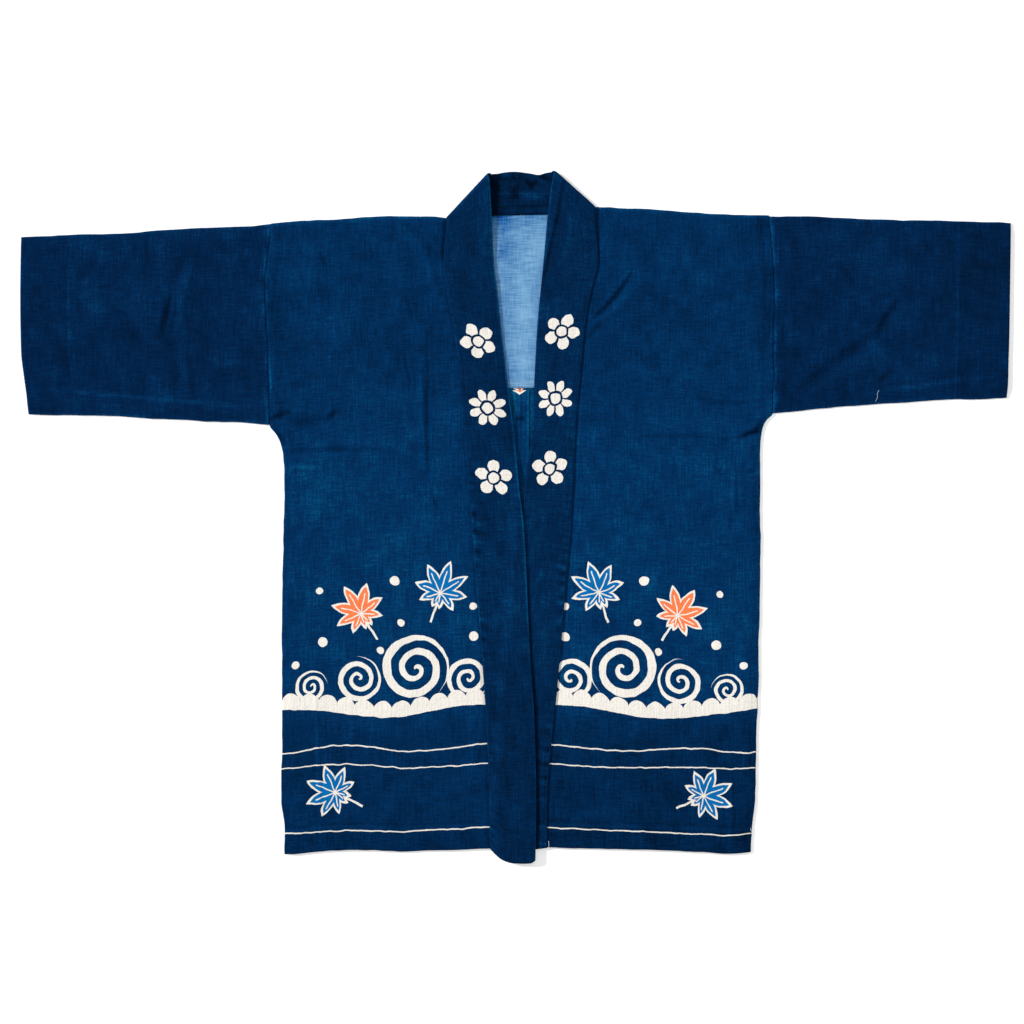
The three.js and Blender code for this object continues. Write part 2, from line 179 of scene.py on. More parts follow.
# Creases. Each runs from (x0, y0) to (x1, y1) and bows sideways by bow. height is a ridge if
# positive and a trough if negative; its other lip rises half as far. tone pales the dye along a ridge,
# as rubbed indigo fades, and darkens it along a trough as painted shade.
def addCreases(rows, x, y):
    lift = np.zeros_like(x)
    worn = np.zeros_like(x)
    for x0, y0, x1, y1, width, height, bow, tone in rows:
        length = math.hypot(x1 - x0, y1 - y0)
        ax, ay = (x1 - x0) / length, (y1 - y0) / length
        along = ((x - x0) * ax + (y - y0) * ay) / length
        inside = (along > -0.05) & (along < 1.05)
        along = np.clip(along, 0, 1)
        off = -(x - x0) * ay + (y - y0) * ax - bow * 4 * along * (1 - along)
        off = off / (width * (0.7 + 0.3 * np.sin(math.pi * along)))
        fade = np.sin(math.pi * along) ** 0.7 * inside
        line = bell(off)
        lip = np.exp(-(off - 1.7) ** 2 / 1.4)
        lift += height * fade * (line - 0.5 * lip)
        worn += tone * fade * bell(off * 0.9)
    return lift, worn


# Puts a mesh or another thing with a place into the scene.
def addObject(name, data):
    holder = bpy.data.objects.new(name, data)
    bpy.context.scene.collection.objects.link(holder)
    return holder


def meshObject(name, bm):
    mesh = bpy.data.meshes.new(name)
    bm.to_mesh(mesh)
    bm.free()
    return addObject(name, mesh)


# How far a seam is, in the edge attribute, where there is none.
noSeam = 40.0


# A sheet of cloth from a grid. shape turns places on it, from 0 to 1 each way, into points of the
# pattern, places on the flat cloth, wear together with painted shade and light, and the distance from
# a seam.
def newPiece(name, columns, rows, shape, closed=False):
    bm = bmesh.new()
    bmesh.ops.create_grid(bm, x_segments=columns, y_segments=rows, size=0.5)
    u, w = np.array([v.co[:2] for v in bm.verts]).T + 0.5
    made = np.broadcast_arrays(*shape(u, w))
    points = toFrame(*made[:3])
    wear = bm.verts.layers.float.new("wear")
    edge = bm.verts.layers.float.new("edge")
    for vert, place, worn, gap in zip(bm.verts, points, *made[5:]):
        vert.co = place
        vert[wear] = worn
        vert[edge] = gap
    bm.verts.index_update()
    clothMap = bm.loops.layers.uv.new("clothMap")
    places = np.stack(made[3:5], -1) / 1000
    for face in bm.faces:
        for loop in face.loops:
            loop[clothMap].uv = places[loop.vert.index]
    if closed:
        bmesh.ops.remove_doubles(bm, verts=bm.verts, dist=2e-5)
    bmesh.ops.recalc_face_normals(bm, faces=bm.faces)
    piece = meshObject(name, bm)
    piece.data.shade_smooth()
    return piece


# ---- camera and light come first, as everything is judged through them
view = {"lens": 100, "across": 1.28, "centreX": -0.0044, "centreY": 0.0071, "layerHeight": 0.004}


def makeCamera():
    camera = bpy.data.cameras.new("camera")
    camera.lens = view["lens"]
    camera.clip_end = 50
    holder = addObject("camera", camera)
    distance = view["across"] * camera.lens / camera.sensor_width
    holder.location = (view["centreX"], view["centreY"], distance + view["layerHeight"])
    bpy.context.scene.camera = holder


lighting = {
    "key": {"from": (-2.7, 1.1, 1.65), "kind": "SUN", "power": 3.1, "size": 0.1},
    "top": {"from": (0.3, 0.5, 3.4), "kind": "AREA", "power": 30, "size": 3.2},
    "front": {"from": (0.8, -2.6, 2.4), "kind": "AREA", "power": 14, "size": 2.2},
    "sky": 0.31, "floorGlow": 0.3}


def makeLights():
    for name in ("key", "top", "front"):
        lamp = lighting[name]
        light = bpy.data.lights.new(name, lamp["kind"])
        light.energy = lamp["power"]
        if lamp["kind"] == "SUN":
            light.angle = lamp["size"]
        else:
            light.size = lamp["size"]
        holder = addObject(name, light)
        holder.location = lamp["from"]
        holder.rotation_euler = (-Vector(lamp["from"])).to_track_quat("-Z", "Y").to_euler()
    world = bpy.data.worlds.new("studio")
    world.use_nodes = True
    sky = world.node_tree.nodes["Background"]
    sky.inputs["Color"].default_value = (1, 1, 1, 1)
    sky.inputs["Strength"].default_value = lighting["sky"]
    bpy.context.scene.world = world
    bpy.context.scene.view_settings.view_transform = "Standard"


makeCamera()
makeLights()
print("camera and lights placed")


# ---- materials
def hexColour(code):
    parts = [int(code[i:i + 2], 16) / 255 for i in (0, 2, 4)]
    return tuple(c / 12.92 if c <= 0.04045 else ((c + 0.055) / 1.055) ** 2.4 for c in parts) + (1,)


# Adds one node, fills its sockets with values or links, and gives back the wanted output. Its kind is a
# name such as "Bump" or "VectorMath.ADD", or "ADD" alone for arithmetic.
def addNode(tree, kind, inputs=(), out=0, **settings):
    if kind.isupper():
        kind = "Math." + kind
    kind, _, operation = kind.partition(".")
    node = tree.nodes.new("ShaderNode" + kind)
    if operation:
        node.operation = operation
    for key, value in settings.items():
        setattr(node, key, value)
    pairs = inputs.items() if isinstance(inputs, dict) else enumerate(inputs)
    for socket, value in pairs:
        if isinstance(value, bpy.types.NodeSocket):
            tree.links.new(value, node.inputs[socket])
        else:
            node.inputs[socket].default_value = value
    return node.outputs[out] if len(node.outputs) else node


# finish gives back the values and links of the surface. Its add is addNode on this material's tree.
def newMaterial(name, finish, *details):
    material = bpy.data.materials.new(name)
    material.use_nodes = True
    material.node_tree.nodes.clear()
    add = partial(addNode, material.node_tree)
    surface = add("BsdfPrincipled", finish(add, *details))
    add("OutputMaterial", {"Surface": surface})
    return material


# A point of the print seen from a motif's own centre, in motif radii.
def motifPoint(add, point, centre, turn, size):
    place = add("Mapping", {0: point, 1: (*centre, 0), 2: (0, 0, math.radians(turn)), 3: (size, size, 1)},
                vector_type="TEXTURE")
    radius = add("VectorMath.LENGTH", (place,), out="Value")
    x, y = (add("SeparateXYZ", (place,), out=i) for i in (0, 1))
    return x, y, radius, add("ARCTAN2", (x, y))


# A maple leaf: seven pointed lobes, shorter towards the stem. Gives the leaf, its outline and its veins.
def mapleLeaf(add, point, centre, turn, size):
    x, y, radius, angle = motifPoint(add, point, centre, turn, size)
    lobe = add("DIVIDE", (angle, math.radians(42)))
    away = add("SUBTRACT", (lobe, add("ROUND", (lobe,))))
    away = add("ABSOLUTE", (away,))
    notch = add("MULTIPLY_ADD", (away, -1.1, 1.0))
    reach = add("COSINE", (add("MULTIPLY", (angle, 0.72)),))
    reach = add("MULTIPLY_ADD", (reach, 0.34, 0.6))
    reach = add("MULTIPLY", (notch, reach))
    leaf = add("LESS_THAN", (radius, reach))
    border = add("LESS_THAN", (radius, add("ADD", (reach, hemPrint["rim"] / size))))
    stem = add("LESS_THAN", (add("ABSOLUTE", (x,)), 0.035))
    for value, limit in ((y, 0.0), (radius, 1.0)):
        stem = add("MULTIPLY", (stem, add("LESS_THAN", (value, limit))))
    vein = add("LESS_THAN", (add("MULTIPLY", (away, radius)), 0.026))
    inside = add("LESS_THAN", (radius, add("MULTIPLY", (reach, 0.78))))
    return leaf, add("MAXIMUM", (border, stem)), add("MULTIPLY", (vein, inside))


# An eddy in the stream: a spiral line that grows thicker outwards.
def eddy(add, point, centre, turn, size, mirrored):
    _, _, radius, angle = motifPoint(add, point, centre, turn, size)
    turnsSoFar = add("MULTIPLY", (angle, (-1 if mirrored else 1) / (2 * math.pi)))
    phase = radius
    for kind, *values in (("MULTIPLY", 1 / 0.46), ("SUBTRACT", turnsSoFar), ("FRACT",), ("SUBTRACT", 0.5),
                          ("ABSOLUTE",)):
        phase = add(kind, (phase, *values))
    line = add("LESS_THAN", (phase, add("MULTIPLY_ADD", (radius, 0.16, 0.13))))
    return add("MULTIPLY", (line, add("LESS_THAN", (radius, 1.0))))


def roundSpot(add, point, centre, size):
    gap = add("VectorMath.DISTANCE", (point, (*centre, 0)), out="Value")
    return add("LESS_THAN", (gap, size))


# Print of the hem, in millimetres from the centre line and above the hem.
hemPrint = {
    "leaves": [  # centre, turn, radius, dye
        ((101, 322), 18, 39, "blue"), ((200, 296), -32, 38, "orange"), ((232, 72), -64, 38, "blue")],
    "eddies": [  # centre, turn, radius, mirrored
        ((66, 214), 75, 27, False), ((132, 228), 150, 42, True), ((203, 214), -20, 28, False),
        ((262, 207), 100, 20, True)],
    "spray": [  # centre, radius
        ((59, 266), 6), ((60, 304), 4.5), ((150, 286), 4.5), ((158, 338), 6), ((248, 262), 6),
        ((252, 326), 4.5), ((282, 236), 5), ((176, 250), 4.5)],
    "lines": [  # height, width, swing, length of a wave, start of the wave
        (128, 1.7, 3.0, 190, 0.4), (106, 1.5, 2.0, 260, 1.7), (25.5, 1.6, 1.2, 330, 0.9)],
    "rim": 4.6,
    "lozenge": {1: (-2, 592, 0), 3: (29, 18.4, 1)}}  # centre and half width and height


# The stream is a thick white line with a scalloped upper edge of foam.
def drawHemPrint(add, point):
    across, up = (add("SeparateXYZ", (point,), out=i) for i in (0, 1))
    swell = add("SINE", (add("MULTIPLY", (across, 2 * math.pi / 236)),))
    height = add("SUBTRACT", (up, add("MULTIPLY_ADD", (swell, 7.0, 180.0))))
    foam = across
    for kind, *values in (("MULTIPLY", math.pi / 23), ("SINE",), ("ABSOLUTE",), ("POWER", 0.6),
                          ("MULTIPLY_ADD", 9.0, 5.0)):
        foam = add(kind, (foam, *values))
    stream = add("LESS_THAN", (height, foam))
    white = add("MULTIPLY", (stream, add("GREATER_THAN", (height, -6.5))))
    motifs = [eddy(add, point, *row) for row in hemPrint["eddies"]]
    motifs += [roundSpot(add, point, *row) for row in hemPrint["spray"]]
    for base, width, swing, length, start in hemPrint["lines"]:
        wave = across
        for kind, *values in (("MULTIPLY_ADD", 2 * math.pi / length, start), ("SINE",),
                              ("MULTIPLY_ADD", swing, base), ("SUBTRACT", up), ("ABSOLUTE",)):
            wave = add(kind, (wave, *values))
        motifs.append(add("LESS_THAN", (wave, width / 2)))
    for motif in motifs:
        white = add("MAXIMUM", (white, motif))
    return white


indigo = {  # as dyed; paler, for rubbed cloth and painted light; darker, for deeper dye and painted shade
    "body": ("02305d", "086390", "00152f"), "sleeve": ("02244b", "05497c", "001024"),
    "collar": ("02274e", "065585", "000f22")}
prints = {"white": "f1ece3", "blue": "0a6cae", "orange": "f9824f"}


# Slubs in the yarn. Each stretch is how often they come in a millimetre, across and along the cloth.
def slubs(add, point, *stretches):
    places = [add("Mapping", {0: point, 3: stretch}) for stretch in stretches]
    return [add("TexNoise", {"Vector": place, "Scale": 1.0, "Detail": 3.0}, noise_dimensions="2D")
            for place in places]


# Plain-weave cotton dyed with indigo: matt, a little fuzzy, with slubs both ways and faded high spots.
def indigoCotton(add, dyes, draw=None):
    base, pale, deep = map(hexColour, dyes)
    point = add("VectorMath.SCALE", {0: add("UVMap", uv_map="clothMap"), 3: 1000.0})
    wear, edge = (add("Attribute", attribute_name=name, out="Fac") for name in ("wear", "edge"))
    # Threads are 0.6 mm apart; slubs run 1.5 mm wide and 12 to 20 mm long, so they show at this distance.
    warp, weft = slubs(add, point, (0.5, 0.03, 1), (0.045, 0.55, 1))
    cloud, grain, flecks = (
        add("TexNoise", {"Vector": point, "Scale": scale, "Detail": detail, "Roughness": rough},
            noise_dimensions="2D")
        for scale, detail, rough in ((0.034, 6.0, 0.66), (0.3, 4.0, 0.5), (0.33, 2.0, 0.5)))
    slub = add("ADD", (weft, warp))
    tone = add("MULTIPLY_ADD", (slub, 0.8, -0.8))
    tone = add("MULTIPLY_ADD", (cloud, 0.8, tone))
    tone = add("MULTIPLY_ADD", (grain, 0.72, tone))
    # The attribute adds wear together with painted shade and light.
    tone = add("ADD", (add("ADD", (tone, -0.73)), wear))
    # A rubbed line beside each seam, broken by the grain, and a dark one in the seam itself.
    beside = add("SUBTRACT", (edge, 2.0))
    beside = add("MULTIPLY", (add("MULTIPLY", (beside, beside)), -0.5))
    flecks = add("MULTIPLY_ADD", (flecks, 3.4, -1.3), use_clamp=True)
    beside = add("MULTIPLY", (add("EXPONENT", (beside,)), flecks))
    inSeam = add("MULTIPLY", (add("LESS_THAN", (edge, 0.6)), -0.1))
    tone = add("ADD", (add("MULTIPLY_ADD", (beside, 0.45, tone)), inSeam))
    colour = base
    for dye, sense, power in ((pale, 1.0, 1.4), (deep, -1.0, 0.82)):
        share = add("MULTIPLY", (tone, sense), use_clamp=True)
        share = add("POWER", (share, power))
        colour = add("Mix", {0: share, 6: colour, 7: dye}, out=2, data_type="RGBA")
    if draw:
        colour = draw(add, point, colour, tone)
    relief = add("MULTIPLY_ADD", (cloud, 2.4, slub))
    relief = add("MULTIPLY_ADD", (grain, 1.3, relief))
    bump = add("Bump", {"Strength": 0.7, "Distance": 0.0005, "Height": relief})
    return {"Base Color": colour, "Roughness": 0.95, "Specular IOR Level": 0.02, "Sheen Weight": 0.02,
            "Sheen Roughness": 0.6, "Sheen Tint": hexColour("3f7fc0"), "Normal": bump}


# Moves a print's edges by about reach, in bumps of 1 / scale, as those of a hand-cut stencil are.
def handCut(add, point, scale, reach):
    cut = add("TexNoise", {"Vector": point, "Scale": scale, "Detail": 1.0}, out="Color",
              noise_dimensions="2D")
    for kind, value in (("SUBTRACT", (0.5, 0.5, 0.5)), ("MULTIPLY", (reach, reach, 0)), ("ADD", point)):
        cut = add("VectorMath." + kind, (cut, value))
    return cut


# Lays inks over the dyed cloth, a little uneven as the cloth is, and following its painted shade and
# light.
def layInks(add, colour, tone, shares):
    shade = add("MULTIPLY_ADD", (tone, 0.16, 1.0))
    for dye, share in shares.items():
        ink = add("VectorMath.SCALE", {0: hexColour(prints[dye])[:3], 3: shade})
        colour = add("Mix", {0: share, 6: colour, 7: ink}, out=2, data_type="RGBA")
    return colour


# The hem's print on the body cloth: white where the paste kept the dye out, and two dyes in the leaves.
def dyeBody(add, point, colour, tone):
    plain = handCut(add, point, 0.07, 2.6)
    mirrored = add("VectorMath.ABSOLUTE", (plain,))
    shares = {"white": drawHemPrint(add, mirrored), "blue": 0.0, "orange": 0.0}
    for centre, turn, size, dye in hemPrint["leaves"]:
        leaf, border, vein = mapleLeaf(add, mirrored, centre, turn, size)
        for ink, part in (("white", border), (dye, add("SUBTRACT", (leaf, vein), use_clamp=True))):
            shares[ink] = add("MAXIMUM", (shares[ink], part))
    # A plain lozenge on the back, whose tip shows under the lining.
    lozenge = add("Mapping", {0: plain, **hemPrint["lozenge"]}, vector_type="TEXTURE")
    lozenge = add("VectorMath.ABSOLUTE", (lozenge,))
    lozenge = add("VectorMath.DOT_PRODUCT", (lozenge, (1, 1, 0)), out="Value")
    for ink, reach in (("white", 1.16), ("orange", 1.0)):
        shares[ink] = add("MAXIMUM", (shares[ink], add("LESS_THAN", (lozenge, reach))))
    return layInks(add, colour, tone, shares)


# Three white blossoms up each front of the collar, 12 mm lower on the right.
collarPrint = {
    "blossoms": [  # centre, turn, radius, petals
        ((29, 252), 12, 23, 5), ((31, 336), -20, 24, 8), ((31, 424), 40, 23, 5)],
    "rightLower": 12}


def dyeCollar(add, point, colour, tone):
    point = add("VectorMath.ADD", (handCut(add, point, 0.1, 3), (0, collarPrint["rightLower"] / 2, 0)))
    point = add("VectorMath.ABSOLUTE", (point,))
    white = 0.0
    for centre, turn, size, petals in collarPrint["blossoms"]:
        _, _, radius, angle = motifPoint(add, point, centre, turn, size)
        wave = add("COSINE", (add("MULTIPLY", (angle, petals / 2)),))
        wave = add("ABSOLUTE", (wave,))
        lobes = add("MULTIPLY_ADD", (add("POWER", (wave, 0.6)), 0.62, 0.36))
        gap = add("MULTIPLY", (
            add("LESS_THAN", (wave, 0.3)), add("GREATER_THAN", (radius, 0.3))))
        ring = add("ABSOLUTE", (add("SUBTRACT", (radius, 0.34)),))
        gap = add("MAXIMUM", (gap, add("LESS_THAN", (ring, 0.06))))
        petal = add("SUBTRACT", (add("LESS_THAN", (radius, lobes)), gap), use_clamp=True)
        white = add("MAXIMUM", (white, petal))
    return layInks(add, colour, tone, {"white": white})


# Light blue cotton sheeting: thinner and smoother than the indigo, darker along its top edge as painted
# shade.
def liningCotton(add):
    point = add("VectorMath.SCALE", {0: add("UVMap", uv_map="clothMap"), 3: 1000.0})
    wear = add("Attribute", attribute_name="wear", out="Fac")
    cloud, weave = (
        add("TexNoise", {"Vector": point, "Scale": scale, "Detail": detail}, noise_dimensions="2D")
        for scale, detail in ((0.05, 4.0), (0.9, 2.0)))
    # Undyed slubs 1 mm wide run both ways through the sheeting, mostly across it.
    weft, warp = slubs(add, point, (0.05, 0.62, 1), (0.55, 0.05, 1))
    tone = wear
    for part, share in ((weft, 1.5), (warp, 0.9), (cloud, 0.9)):
        tone = add("MULTIPLY_ADD", (part, share, tone))
    tone = add("ADD", (tone, -1.15))
    colour = add("Mix", {0: tone, 6: hexColour("3e75ac"), 7: hexColour("75a7d0")}, out=2,
                 data_type="RGBA", clamp_factor=False)
    bump = add("Bump", {"Strength": 0.3, "Distance": 0.0002, "Height": weave})
    return {"Base Color": colour, "Normal": bump, "Roughness": 0.86, "Specular IOR Level": 0.2}


# Two-ply cotton thread, a little paler where the plies turn to the light.
def sewingThread(add, code):
    ply = add("TexNoise", {"Scale": 900.0, "Detail": 1.0})
    colour = add("Mix", {0: ply, 6: hexColour(code), 7: hexColour("9fb2c4")}, out=2, data_type="RGBA")
    return {"Base Color": colour, "Roughness": 0.7}


def paintedFloor(add):
    speck = add("TexNoise", {"Scale": 3.0, "Detail": 2.0})
    colour = add("Mix", {0: speck, 6: (0.93, 0.93, 0.93, 1), 7: (0.95, 0.95, 0.95, 1)}, out=2,
                 data_type="RGBA")
    return {"Base Color": colour, "Roughness": 0.9, "Specular IOR Level": 0.1,
            "Emission Color": (1, 1, 1, 1), "Emission Strength": lighting["floorGlow"]}


bodyCotton = newMaterial("indigoCottonBody", indigoCotton, indigo["body"], dyeBody)
sleeveCotton = newMaterial("indigoCottonSleeve", indigoCotton, indigo["sleeve"])
collarCotton = newMaterial("indigoCottonCollar", indigoCotton, indigo["collar"], dyeCollar)
plainCotton = newMaterial("indigoCottonInside", indigoCotton, indigo["sleeve"])
sheeting = newMaterial("lightBlueSheeting", liningCotton)
whiteThread = newMaterial("whiteThread", sewingThread, "e8ecef")
paleThread = newMaterial("paleThread", sewingThread, "7da5c6")
print("materials made")


# ---- fronts
front = {
    "columns": 128, "rows": 320, "turnRows": 7, "tuck": 2.0, "hemDepth": 29.0,
    "seamAtHem": 36, "seamAtShoulder": 96}  # distances from the middle at which the collar seam ends
corners = {"hem": 295, "shoulder": 312}  # and at which the side and the armhole end
frontCreases = {
    "right": [
        (-116, 652, -114, 452, 2.4, -1.3, -2, -0.5), (-122, 640, -120, 470, 5, 0.6, -3, 0.1),
        (-150, 632, -139, 570, 2.6, -1.3, 2, -0.42), (-146, 700, -136, 660, 2.6, -1, 2, -0.3),
        (-149, 790, -100, 737, 4, -1.6, 3, -0.32), (-132, 772, -104, 690, 6, 1, 4, 0.1),
        (-314, 539, -285, 549, 3.2, -2.2, 1, -0.7), (-292, 541, -238, 539, 7, -1.5, -5, -0.4),
        (-242, 537, -226, 552, 3.2, -1.5, 1, -0.5), (-306, 531, -292, 508, 3.2, -1.4, -2, -0.4),
        (-297, 499, -150, 500, 2.8, -0.9, 2, -0.34), (-294, 478, -245, 479, 2.4, 0.7, 1, 0.35),
        (-257, 210, -249, 0, 2.4, 0.7, 0, 0.24), (-258, 460, -255, 400, 9, 0.8, 2, 0.2),
        (-200, 420, -150, 300, 12, 0.8, 8, 0.1), (-230, 740, -205, 610, 12, 0.8, -6, 0.12),
        (-90, 360, -75, 230, 8, 0.7, 3, 0.08), (-180, 130, -120, 60, 11, 0.6, 4, 0.08),
        (-270, 700, -215, 690, 9, -0.7, 3, -0.14), (-112, 452, -98, 420, 3, -1, -1, -0.35),
        (-252, 749, -243, 729, 2.8, -1, 1, -0.4), (-272, 742, -256, 690, 9, 0.8, 2, 0.18),
        (-200, 250, -130, 238, 8, -0.6, 3, -0.1), (-285, 330, -240, 300, 8, 0.6, 2, 0.1)],
    "left": [
        (88, 664, 141, 727, 2.4, -1.7, -4, -0.75), (97, 660, 148, 712, 6, 1.1, -3, 0.12),
        (84, 640, 104, 664, 3, -1, 0, -0.3), (110, 770, 180, 745, 9, -0.9, 4, -0.16),
        (149, 518, 262, 515, 2.8, -0.8, 2, -0.24), (222, 561, 302, 562, 2.8, -0.7, -2, -0.2),
        (272, 516, 303, 526, 3, -2.2, 1, -0.7), (266, 482, 266, 415, 2.6, 0.9, 0, 0.26),
        (279, 474, 296, 475, 2.4, -1.3, 0, -0.45), (263, 95, 262, -2, 2.6, 0.7, 0, 0.24),
        (200, 780, 225, 660, 11, 0.8, 6, 0.12), (120, 430, 170, 330, 10, 0.8, -6, 0.1),
        (230, 330, 250, 210, 10, 0.7, 4, 0.1), (304, 540, 288, 520, 3.2, -1.3, 2, -0.4),
        (110, 600, 180, 590, 8, 0.7, 4, 0.1), (240, 710, 296, 690, 9, -0.8, 3, -0.14),
        (86, 330, 128, 322, 7, -0.6, 2, -0.12), (150, 130, 210, 90, 9, 0.6, 4, 0.1)]}


# Small gathers beside a seam, about period apart, that come and go and differ in depth and length.
def puckers(along, away, reach, seed=5, period=10.5):
    wave = along / period + 0.014 * away
    drift = 5.5 * oneWayNoise(wave, 3.1, seed) + 2.0 * oneWayNoise(wave, 1.25, seed + 3)
    beat = np.sin(wave * 2 * math.pi + drift)
    beat = np.where(beat > 0, beat * 0.5, -np.abs(beat) ** 2)
    depth = np.clip(0.35 + 1.3 * oneWayNoise(along, 2.6 * period, seed + 1), 0, 1.2)
    length = reach * (0.8 + 0.4 * oneWayNoise(along, 1.7 * period, seed + 6))
    return beat * depth * bell(away / length)


# The side of the body at a share of its height, down by gap at the shoulder.
def sideEdge(side, share, gap=0):
    high = readCurve(shoulder, side, corners["shoulder"]) - cloth["bulge"] - gap
    return outline(bodySide, side, lerp(readCurve(hem, side, corners["hem"]), high, share))


def upperLayer(x, y, away, creases, seed, held):
    opened = ease(away / cloth["reach"])
    lift, worn = addCreases(creases, x, y)
    lift = 1.4 * lift
    drape = (0.55 * softNoise(x, y, 130, 170, seed) + 0.3 * softNoise(x, y, 46, 70, seed + 1)
             + 0.2 * softNoise(x, y, 17, 24, seed + 2) + 0.07 * softNoise(x, y, 8, 10, seed + 5))
    z = cloth["closed"] + opened * drape + lift * ease(away / 5)
    z = z + cloth["rise"] * ease((away + held) / cloth["reach"])
    fade = (0.09 * softNoise(x, y, 60, 85, seed + 3) + 0.06 * softNoise(x, y, 22, 30, seed + 4)
            + 0.09 * softNoise(x, y, 9, 13, seed + 7))
    return z, worn + fade


def frontShape(side, u, w):
    way = sides[side]
    turnShare = front["turnRows"] / front["rows"]
    v = np.minimum(w / (1 - turnShare), 1)
    turn = math.pi * np.clip((w - 1 + turnShare) / turnShare, 0, 1)
    low = readCurve(hem, side, front["seamAtHem"])
    high = readCurve(shoulder, side, front["seamAtShoulder"]) - cloth["bulge"]
    bandY = lerp(low, high, v)
    tuck = front["tuck"] + 3.5 * ease((bandY - 725) / 40)
    tuck = tuck * (1 - 0.15 * ease((bandY - high + 9) / 8))
    inner = readCurve(bandEdges, side + "Seam", bandY) - tuck
    outer = sideEdge(side, v)
    d = lerp(inner, outer, u)
    topY = outline(shoulder, side, d) - cloth["bulge"]
    hemY = outline(hem, side, d)
    y = lerp(hemY, topY, v)
    x = way * d
    sideGap, topGap, seamGap = outer - d, topY - y, d - inner - tuck
    armhole = ease((y - 540) / 14)
    held = 7 * armhole * (sideGap < topGap)
    seed = 3 if way < 0 else 17
    z, worn = upperLayer(x, y, np.minimum(sideGap, topGap), frontCreases[side], seed, held)
    # The turned hem lies a little higher, with its sewn edge as a groove.
    above = y - hemY
    fromSewn = above - front["hemDepth"]
    z += 0.5 * (1 - ease(fromSewn / 3)) * ease(sideGap / 8)
    z -= 0.45 * bell((fromSewn - 2.5) / 2.2)
    gathers = (0.3 * puckers(y, seamGap, 11) * ease(seamGap / 4)
               + 0.3 * puckers(y, sideGap, 9, 9) * armhole * ease(sideGap / 2))
    z += gathers
    overLining = (np.abs(x) < lining["half"] + 3) & (y > lining["hem"] - 3)
    lowest = np.where(overLining, cloth["aboveLining"], cloth["aboveBack"])
    z = np.maximum(z, lowest * ease(topGap / 14) * ease(sideGap / 14))
    # Under the collar band the edge goes down, so that the band lies over it.
    z = np.where(topGap > 0.5, lerp(z, np.minimum(z, 2.65), 1 - ease((seamGap + 1) / 5)), z)
    radius = cloth["bulge"] - cloth["thick"] / 2
    folded = turn > 0
    y = np.where(folded, topY + radius * np.sin(turn), y)
    z = np.where(folded, cloth["bulge"] + radius * np.cos(turn), z)
    # Painted light on the gathers' ridges and painted shade in their hollows; the top edge is paler.
    worn += 0.45 * gathers + 0.45 * bell(topGap / 2.6)
    worn = worn - 0.2 * ease((y - 470) / 160) - 0.1 * bell(sideGap / 16)
    worn += 0.3 * bell(sideGap / 1.3) * (1 - armhole)
    worn -= (0.52 if way > 0 else 0.36) * (1 - ease((y - 130) / 70))
    worn += 0.22 * bell(fromSewn / 1.6)
    worn -= 0.16 * bell((fromSewn - 4) / 2.4)
    worn -= 0.14 * (1 - ease((fromSewn + 3) / 4))
    frayed = 0.02 + 0.3 * softNoise(x, y, 5, 16, 101)
    # Where the collar pulls at the shoulder, the cloth beside it lies in shade.
    worn -= (0.55 if way < 0 else 0.35) * bell((seamGap - 0.5) / 2.6) * ease((y - 725) / 25)
    worn += armhole * (frayed * bell(sideGap / 7) - 0.16 * bell((sideGap - 13) / 4))
    edge = np.minimum(np.where(armhole > 0, sideGap, sideGap + 4), noSeam)
    return x, y, z, x + 4 * (way > 0), above + 2 * (way > 0), worn, edge


# ---- backs: the same lengths of cloth, lying face down
back = {"columns": 56, "rows": 150, "tuck": 2.2, "seam": 0.2, "shoulderGap": 0.3, "neckHalf": 92}
backCreases = {
    "right": [
        (-120, 640, -118, 470, 7, 1, 3, 0.1), (-295, 530, -225, 545, 7, 1, 3, -0.2),
        (-210, 420, -160, 300, 12, 0.9, 6, 0.05), (-60, 180, -90, 60, 9, 0.8, 3, 0.05)],
    "left": [
        (110, 690, 150, 630, 7, 1.1, -3, -0.2), (215, 556, 300, 548, 7, 1, -2, -0.15),
        (130, 400, 175, 300, 12, 0.8, -5, 0.05), (230, 200, 215, 80, 9, 0.9, 3, 0.05)]}


def backShape(side, u, w):
    way = sides[side]
    outer = sideEdge(side, w, back["shoulderGap"])
    d = lerp(back["seam"], outer, u)
    x = way * d
    neck = readCurve(backNeck, "y", x) + back["tuck"] * ease((90 - d) / 4)
    fold = outline(shoulder, side, np.maximum(d, back["neckHalf"])) - cloth["bulge"]
    topY = np.where(d < back["neckHalf"], neck, fold - back["shoulderGap"])
    hemY = outline(hem, side, d)
    y = lerp(hemY, topY, w)
    gap = np.minimum(np.minimum(outer - d, topY - y), y - hemY)
    lift, worn = addCreases(backCreases[side], x, y)
    z = cloth["under"] + np.clip(lift, 0, 0.9) * ease(gap / 10)
    above = y - hemY
    worn += 0.2 * bell((above - front["hemDepth"]) / 1.8)
    # Above 380 mm the back is painted lighter, to offset the shade it lies in where it shows between the
    # bands.
    worn += 0.07 * softNoise(x, y, 60, 85, 31) + 0.4 * (y > 380)
    edge = np.minimum(np.minimum(outer - d, d), noSeam)
    return x, y, z, x, above, worn, edge


